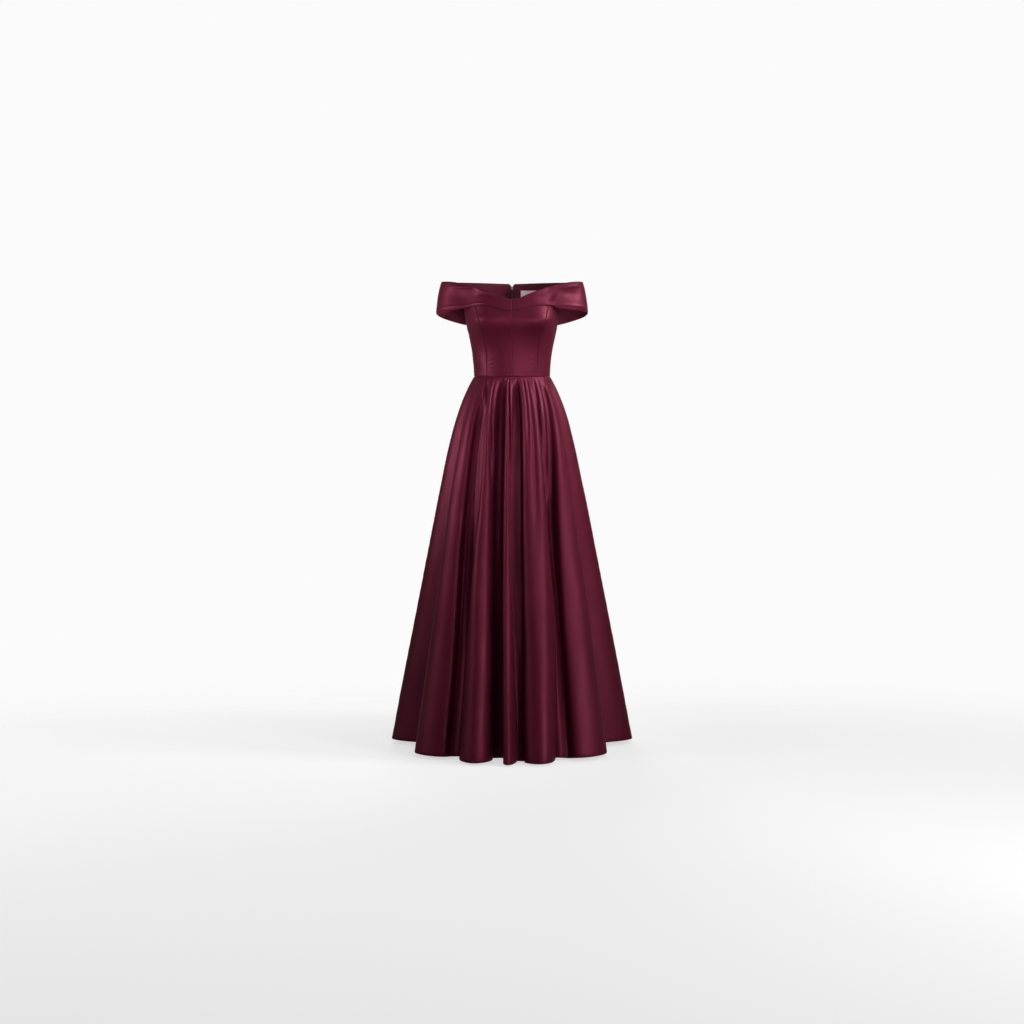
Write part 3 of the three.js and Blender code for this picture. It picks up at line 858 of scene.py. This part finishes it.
# Ridges and troughs of the front by (drop, place), from the wearer's right to left
FRONT_CREASES = [
    crease(1.8, 12, (40, 0.66), (200, 0.72), (500, 0.80), (900, 0.81)),
    crease(-10, 7, (60, 0.92), (400, 0.87), (800, 0.85), (SKIRT_LENGTH, 0.83)),
    crease(-24, 17, (30, 1.08), (200, 1.17), (450, 1.15), (960, 1.04)),
    crease(1.6, 6, (8, 0.88), (100, 1.08), (170, 1.28), (280, 1.36)),
    crease(-12, 7, (8, 1.05), (100, 1.26), (180, 1.36), (300, 1.41), (520, 1.42)),
    crease(3.4, 9, (0, 1.40), (110, 1.50), (250, 1.61), (500, 1.67), (800, 1.69), (SKIRT_LENGTH, 1.68)),
    crease(-8, 4, (0, 1.49), (150, 1.65), (360, 1.78)),
    crease(2, 6, (0, 1.50), (110, 1.68), (200, 1.78), (400, 1.90)),
    crease(-21, 17, (0, 1.97), (200, 2.06), (500, 2.10), (SKIRT_LENGTH, 2.07)),
    crease(2.8, 8, (0, 2.33), (110, 2.40), (240, 2.50), (600, 2.63), (1000, 2.70)),
    crease(-9, 4, (0, 2.42), (110, 2.54), (250, 2.63), (420, 2.68)),
    crease(1.8, 6, (0, 2.48), (100, 2.60), (200, 2.72), (380, 2.80)),
    crease(-12, 6, (0, 3.03), (200, 3.09), (520, 3.11), (SKIRT_LENGTH, 3.12)),
    crease(-20, 17, (6, 2.92), (400, 2.91), (700, 2.98), (1060, 3.08)),
    crease(2, 8, (0, 3.28), (200, 3.32), (420, 3.28), (900, 3.24)),
    crease(-6, 4, (0, 3.43), (90, 3.40), (260, 3.36)),
    crease(-6, 5, (0, 3.67), (150, 3.55), (560, 3.46)),
    crease(2.6, 8, (0, 4.00), (85, 3.83), (180, 3.70), (400, 3.63), (1050, 3.60)),
    crease(-7, 5, (0, 4.13), (120, 3.99), (340, 3.84)),
    crease(-5, 5, (0, 4.34), (150, 4.18), (300, 4.10)),
    crease(-13, 6, (10, 4.53), (140, 4.35), (300, 4.18), (450, 4.08), (650, 4.08), (SKIRT_LENGTH, 4.20)),
    crease(-18, 12, (90, 4.06), (450, 3.99), (760, 4.06)),
    crease(3, 9, (10, 4.64), (160, 4.50), (300, 4.34), (600, 4.21), (SKIRT_LENGTH, 4.26)),
]


@functools.lru_cache(maxsize=None)
def creases_at(drop):
    """Each crease that reaches this drop, as (place, height, width in places)."""
    half_width = blend(WAIST_HALF_WIDTH, HEM_HALF_WIDTH, flare_share(drop))
    fold_width = 2 * math.pi * half_width / len(FOLDS)
    deeper, wider = TROUGH_DEPTH(drop), CREASE_WIDTH(drop)
    found = []
    for line in FRONT_CREASES:
        fade_in = CREASE_FADE_IN + LATE_FADE_IN * line["start"]
        fade_out = CREASE_FADE_OUT * (line["end"] - line["start"])
        if line["end"] == SKIRT_LENGTH:
            share = smooth(drop, line["start"], line["start"] + fade_in)
        else:
            share = crease_share(line, drop, fade_in, fade_out)
        if share:
            height = line["height"] * share * (deeper if line["height"] < 0 else 1)
            found.append((line["path"](drop), height, wider * line["width"] / fold_width))
    return found


def front_place(place):
    """The front's creases, again on the back: along on the left half and mirrored on the right."""
    if place < BACK_START:
        return place
    if place < CENTRE_BACK:
        return place - FRONT_REPEAT
    if place < BACK_END:
        return BACK_MIRROR - place
    return place - len(FOLDS)


def skirt_relief(place, drop, along):
    like = front_place(place)
    height = 0
    for centre, lift, width in creases_at(drop):
        if abs(like - centre) < CREASE_REACH * width:
            height += lift * bell((like - centre) / width)
    if drop < ZIP_FREE_DROP:
        stiff = 1 - smooth(drop, ZIP_CLEAR_DROP, ZIP_FREE_DROP)
        height *= 1 - stiff * bell((place - CENTRE_BACK) / ZIP_CLEAR_PLACES)
    height += waist_turn(drop)
    height += HEM_RIDGE * bell((SKIRT_LENGTH - drop - HEM_TURN) / HEM_RIDGE_WIDTH)
    released = smooth(drop, 0, WAVE_FREE_DROP)
    wave = round_unevenness(place, WAVES_PER_FOLD, drop / WAVE_LENGTH)
    height += WAVE_HEIGHT * released * wave
    along_small = drop / SMALL_WAVE_LENGTH + SMALL_WAVE_START
    small_wave = round_unevenness(place, SMALL_WAVES_PER_FOLD, along_small)
    return height + SMALL_WAVE_HEIGHT * released * small_wave


def skirt_panel(name, first, last):
    """A panel between two places of the folds, sewn to the bodice's panels above it."""
    def span(drop):
        return first, last

    shares = steps(0, 1, SKIRT_ROWS)
    drops = [SKIRT_LENGTH * (1 - share) ** SKIRT_ROWS_CROWDING for share in shares]
    columns = round((last - first) * SKIRT_COLUMNS_PER_FOLD)
    obj = shell(f"{name}_cloth", skirt_point, span, drops, columns, SKIRT_THICKNESS, skirt_relief)
    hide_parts(name)
    dress(obj)


def skirt():
    """The panels in turn, each between the places of its two seams."""
    skirt_panel("skirt_front", FRONT_RIGHT_SEAM, FRONT_LEFT_SEAM)
    skirt_panel("skirt_side_front_left", FRONT_LEFT_SEAM, BACK_START)
    skirt_panel("skirt_side_back_left", BACK_START, BACK_LEFT_SEAM)
    skirt_panel("skirt_back_left", BACK_LEFT_SEAM, CENTRE_BACK)
    skirt_panel("skirt_back_right", CENTRE_BACK, BACK_RIGHT_SEAM)
    skirt_panel("skirt_side_back_right", BACK_RIGHT_SEAM, BACK_END)
    end = FRONT_RIGHT_SEAM + len(FOLDS)
    skirt_panel("skirt_side_front_right", BACK_END, end)


# Zip teeth, label stitches, and the slider and pull with softened edges

ZIP_BOTTOM = -205
ZIP_TOP = 268
TAPE_INSET = 2.6
TAPE_THICKNESS = 0.8
TOOTH_PITCH = 1.7
TOOTH_HALF_WIDTH = 2.7
TOOTH_RADIUS = 0.55
TOOTH_STAGGER = 0.35
LABEL_START = 28
LABEL_WIDTH = 50
LABEL_TOP = 269
LABEL_HEIGHT = 24
STITCH_MARGIN = 1.2
STITCH_PITCH = 3.4
STITCH_LENGTH = 2.3
STITCH_RADIUS = 0.3
METAL_EDGE = 0.25
METAL_EDGE_SEGMENTS = 2
BACK_PASSES = 12
SMALL_STEP = 0.5

# A rod's rings by the share of its length and of its radius, and a direction that no rod takes
ROD_SIDES = 6
ROD_RINGS = ((0, 0.45), (0.15, 1), (0.85, 1), (1, 0.45))
ROD_ASIDE = Vector((0.3, 0.5, 0.8))


def back_point(across, z):
    """The back by its distance from the centre back, on the bodice above the waist."""
    if z < 0:
        return skirt_point(CENTRE_BACK, -z)
    angle = 180
    for _ in range(BACK_PASSES):
        angle = 180 - math.degrees(math.asin(across / bodice_radius(angle, z)))
    return bodice_point(angle, z)


def inside_back(across, z, depth):
    """A point that lies a depth inside the back's outer face."""
    point = back_point(across, z)
    along = Vector((-1, 0, 0))
    if z >= 0:
        along = back_point(across - SMALL_STEP, z) - back_point(across + SMALL_STEP, z)
    up = back_point(across, z + SMALL_STEP) - back_point(across, z - SMALL_STEP)
    return point - along.cross(up).normalized() * depth


def rods(name, pairs, radius):
    """Small rounded rods, each from a start to an end, as one mesh."""
    vertices, faces = [], []
    for start, end in pairs:
        axis = (end - start).normalized()
        side = axis.cross(ROD_ASIDE).normalized()
        other = axis.cross(side)
        first = len(vertices)
        for place, share in ROD_RINGS:
            centre = start.lerp(end, place)
            for corner in range(ROD_SIDES):
                turn = 360 * corner / ROD_SIDES
                point = centre + (side * cosine(turn) + other * sine(turn)) * radius * share
                vertices.append(point * MM)
        for ring in range(len(ROD_RINGS) - 1):
            low = first + ring * ROD_SIDES
            for corner in range(ROD_SIDES):
                here, after = low + corner, low + (corner + 1) % ROD_SIDES
                faces.append((here, after, after + ROD_SIDES, here + ROD_SIDES))
        last = first + (len(ROD_RINGS) - 1) * ROD_SIDES
        faces.append(tuple(first + corner for corner in reversed(range(ROD_SIDES))))
        faces.append(tuple(last + corner for corner in range(ROD_SIDES)))
    mesh = bpy.data.meshes.new(name)
    mesh.from_pydata(vertices, [], faces)
    mesh.polygons.foreach_set("use_smooth", [True] * len(faces))
    mesh.update()
    obj = bpy.data.objects.new(name, mesh)
    bpy.context.collection.objects.link(obj)
    return obj


def zip_teeth():
    """A fine coil behind the meeting edges, its teeth from the two tapes in turn."""
    depth = TAPE_INSET + TAPE_THICKNESS + TOOTH_RADIUS
    count = round((ZIP_TOP - ZIP_BOTTOM) / TOOTH_PITCH)
    pairs = []
    for index, z in enumerate(steps(ZIP_BOTTOM + TOOTH_PITCH, ZIP_TOP, count)):
        middle = inside_back(0, z, depth)
        shift = TOOTH_STAGGER if index % 2 else -TOOTH_STAGGER
        reach = Vector((TOOTH_HALF_WIDTH, 0, 0))
        middle.x += shift
        pairs.append((middle - reach, middle + reach))
    dress(rods("zip_teeth", pairs, TOOTH_RADIUS), materials=(coil,))


def label_stitches():
    """Running stitches just inside the label's four edges, through to its inner face."""
    depth = TAPE_INSET + TAPE_THICKNESS
    left, right = LABEL_START + STITCH_MARGIN, LABEL_START + LABEL_WIDTH - STITCH_MARGIN
    low, high = LABEL_TOP - LABEL_HEIGHT + STITCH_MARGIN, LABEL_TOP - STITCH_MARGIN
    pairs = []
    for start, end in (((left, low), (right, low)), ((left, high), (right, high)),
                       ((left, low), (left, high)), ((right, low), (right, high))):
        length = math.dist(start, end)
        gaps = round(length / STITCH_PITCH) - 1
        for middle in steps(STITCH_PITCH / 2, length - STITCH_PITCH / 2, gaps):
            stitch = []
            for half in (-STITCH_LENGTH / 2, STITCH_LENGTH / 2):
                share = (middle + half) / length
                across, z = blend(start[0], end[0], share), blend(start[1], end[1], share)
                stitch.append(inside_back(across, z, depth))
            pairs.append(stitch)
    dress(rods("label_stitches", pairs, STITCH_RADIUS), materials=(thread,))


def softened(node, material, body):
    """A fitting with its solid's own shape and its sharp edges rounded."""
    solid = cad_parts[node]
    obj = bpy.data.objects.new(f"{node}_metal", solid.data.copy())
    obj.matrix_world = solid.matrix_world
    bpy.context.collection.objects.link(obj)
    edges = obj.modifiers.new("edges", "BEVEL")
    edges.width = METAL_EDGE * MM
    edges.segments = METAL_EDGE_SEGMENTS
    bpy.context.view_layer.update()
    rounded = obj.evaluated_get(bpy.context.evaluated_depsgraph_get())
    mesh = bpy.data.meshes.new_from_object(rounded)
    obj.modifiers.clear()
    obj.data = mesh
    mesh.materials.clear()
    dress(obj, body, (material,))
    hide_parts(node)


# The photograph's camera, the floor and the light, with distances in metres

CAMERA_SENSOR = 36
CAMERA_DISTANCE = 6.2
CAMERA_HEIGHT = 0.06
CAMERA_PITCH = 4.4672
CAMERA_LENS = 69.75
FLOOR_HEIGHT = -1.151
FLOOR_RADIUS = 9
FLOOR_SIDES = 96
FLOOR_CENTRE = -2.5
FLOOR_PALE = (0.36, 0.36, 0.36, 1)
FLOOR_GLOW = 0.61
FLOOR_CLEAR_FROM = 2.4
FLOOR_CLEAR_TO = 4
BACKDROP_RADIUS = 40
BACKDROP_FINENESS = 4
BACKDROP_BRIGHTNESS = 0.965
ROOM_BRIGHTNESS = 0.2
FULL_SPREAD = 180
SPOT_SPREAD = 70
HEM_SPREAD = 45


def camera():
    data = bpy.data.cameras.new("camera")
    data.lens = CAMERA_LENS
    data.sensor_width = CAMERA_SENSOR
    obj = bpy.data.objects.new("camera", data)
    obj.location = (0, -CAMERA_DISTANCE, CAMERA_HEIGHT)
    obj.rotation_euler = (math.radians(90 - CAMERA_PITCH), 0, 0)
    bpy.context.collection.objects.link(obj)
    bpy.context.scene.camera = obj


def only_seen(obj):
    """The stage is pale to look at, and lights nothing."""
    obj.visible_diffuse = False
    obj.visible_glossy = False
    obj.visible_transmission = False
    obj.visible_shadow = False


def backdrop():
    """A plain pale room all round."""
    bpy.ops.mesh.primitive_ico_sphere_add(subdivisions=BACKDROP_FINENESS, radius=BACKDROP_RADIUS)
    obj = bpy.context.object
    obj.name = "backdrop"
    material, nodes, links, _ = new_material("pale_backdrop")
    glow = nodes.new("ShaderNodeEmission")
    glow.inputs["Strength"].default_value = BACKDROP_BRIGHTNESS
    links.new(glow.outputs["Emission"], nodes["Material Output"].inputs["Surface"])
    obj.data.materials.append(material)
    only_seen(obj)


def floor():
    """A pale floor that fades into the backdrop behind the gown."""
    bpy.ops.mesh.primitive_circle_add(vertices=FLOOR_SIDES, radius=FLOOR_RADIUS, fill_type="NGON")
    obj = bpy.context.object
    obj.name = "floor"
    obj.location = (0, FLOOR_CENTRE, FLOOR_HEIGHT)
    material, nodes, links, shader = new_material("pale_floor")
    shader.inputs["Base Color"].default_value = FLOOR_PALE
    shader.inputs["Roughness"].default_value = 0.9
    shader.inputs["Specular IOR Level"].default_value = 0
    shader.inputs["Emission Color"].default_value = (1, 1, 1, 1)
    shader.inputs["Emission Strength"].default_value = FLOOR_GLOW
    coordinates = nodes.new("ShaderNodeTexCoord")
    distance = nodes.new("ShaderNodeVectorMath")
    distance.operation = "LENGTH"
    fade = nodes.new("ShaderNodeMapRange")
    fade.interpolation_type = "SMOOTHSTEP"
    fade.inputs["From Min"].default_value = FLOOR_CLEAR_FROM
    fade.inputs["From Max"].default_value = FLOOR_CLEAR_TO
    clear = nodes.new("ShaderNodeBsdfTransparent")
    mix = nodes.new("ShaderNodeMixShader")
    links.new(coordinates.outputs["Object"], distance.inputs[0])
    links.new(distance.outputs["Value"], fade.inputs["Value"])
    links.new(fade.outputs["Result"], mix.inputs["Fac"])
    links.new(shader.outputs["BSDF"], mix.inputs[1])
    links.new(clear.outputs["BSDF"], mix.inputs[2])
    links.new(mix.outputs["Shader"], nodes["Material Output"].inputs["Surface"])
    obj.data.materials.append(material)
    only_seen(obj)


def softbox(name, location, target, size, power, spread=FULL_SPREAD):
    """A round lamp that faces its target; the spread is in degrees."""
    data = bpy.data.lights.new(name, "AREA")
    data.spread = math.radians(spread)
    data.shape = "DISK"
    data.size = size
    data.energy = power
    obj = bpy.data.objects.new(name, data)
    obj.location = location
    obj.rotation_euler = (Vector(target) - Vector(location)).to_track_quat("-Z", "Y").to_euler()
    bpy.context.collection.objects.link(obj)


def lighting():
    world = bpy.data.worlds.new("studio")
    world.use_nodes = True
    background = world.node_tree.nodes["Background"]
    background.inputs["Color"].default_value = (1, 1, 1, 1)
    background.inputs["Strength"].default_value = ROOM_BRIGHTNESS
    bpy.context.scene.world = world
    bpy.context.scene.view_settings.view_transform = "Standard"
    softbox("key", (2.45, -2.25, 0.4), (0, 0, -0.5), size=1.2, power=45)
    softbox("fill", (-2.9, -1.3, 0.4), (0, 0, -0.5), size=1.4, power=26)
    softbox("top", (0.3, -1.1, 2.5), (0.05, 0, 0), size=1.0, power=15)
    softbox("back", (-0.4, 3, 0.7), (0, 0, -0.45), size=1.6, power=50)
    softbox("hem", (2, -2.6, -0.65), (0, 0, -0.95), size=0.6, power=1.3, spread=HEM_SPREAD)
    spot = functools.partial(softbox, size=0.5, spread=SPOT_SPREAD)
    spot("bodice front", (0.4, -1.9, -0.15), (0, 0, 0.16), power=2.2)
    spot("bodice left", (1.3, -0.3, 0.8), (0.12, 0, -0.03), power=4.8)
    spot("bodice right", (-1.3, -0.5, 0.1), (-0.12, 0, 0.1), power=2.2)


camera()
bodice()
band("left", False)
band("right", True)
skirt()
for tape in ("zip_tape_left", "zip_tape_right"):
    repaint(tape, zip_weave)
softened("zip_slider", zip_metal, "gown")
softened("zip_pull", zip_metal, "pull")
repaint("neck_label", ribbon)
zip_teeth()
label_stitches()
backdrop()
floor()
lighting()
